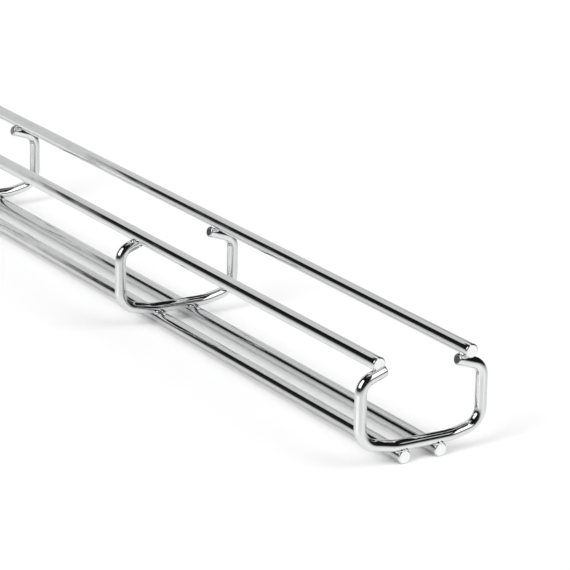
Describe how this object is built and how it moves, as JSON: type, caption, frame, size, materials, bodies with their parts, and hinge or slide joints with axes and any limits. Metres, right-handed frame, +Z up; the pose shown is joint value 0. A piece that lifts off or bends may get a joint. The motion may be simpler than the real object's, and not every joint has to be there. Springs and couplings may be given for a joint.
{
  "type": "wire mesh cable basket",
  "caption": "Narrow welded wire cable basket: straight wires along it, and bent cross wires whose hooked ends carry the top wires. Cables lie inside it and drop in from above.",
  "frame": {"origin": "on the ground under the floor wires, midway along the basket and midway between its sides", "axes": "+X along the basket towards the end that faces the camera, +Y across it to its right side, +Z up"},
  "size_m": [2.0038, 0.0632, 0.0467],
  "materials": {
    "plated_wire": "bright plated drawn steel wire"
  },
  "bodies": {
    "root": {"floor_wire_left": "plated_wire", "floor_wire_right": "plated_wire", "top_wire_left": "plated_wire", "top_wire_right": "plated_wire", "cross_wire_01": "plated_wire", "cross_wire_02": "plated_wire", "cross_wire_03": "plated_wire", "cross_wire_04": "plated_wire", "cross_wire_05": "plated_wire", "cross_wire_06": "plated_wire", "cross_wire_07": "plated_wire", "cross_wire_08": "plated_wire", "cross_wire_09": "plated_wire", "cross_wire_10": "plated_wire", "cross_wire_11": "plated_wire"}
  },
  "joints": []
}
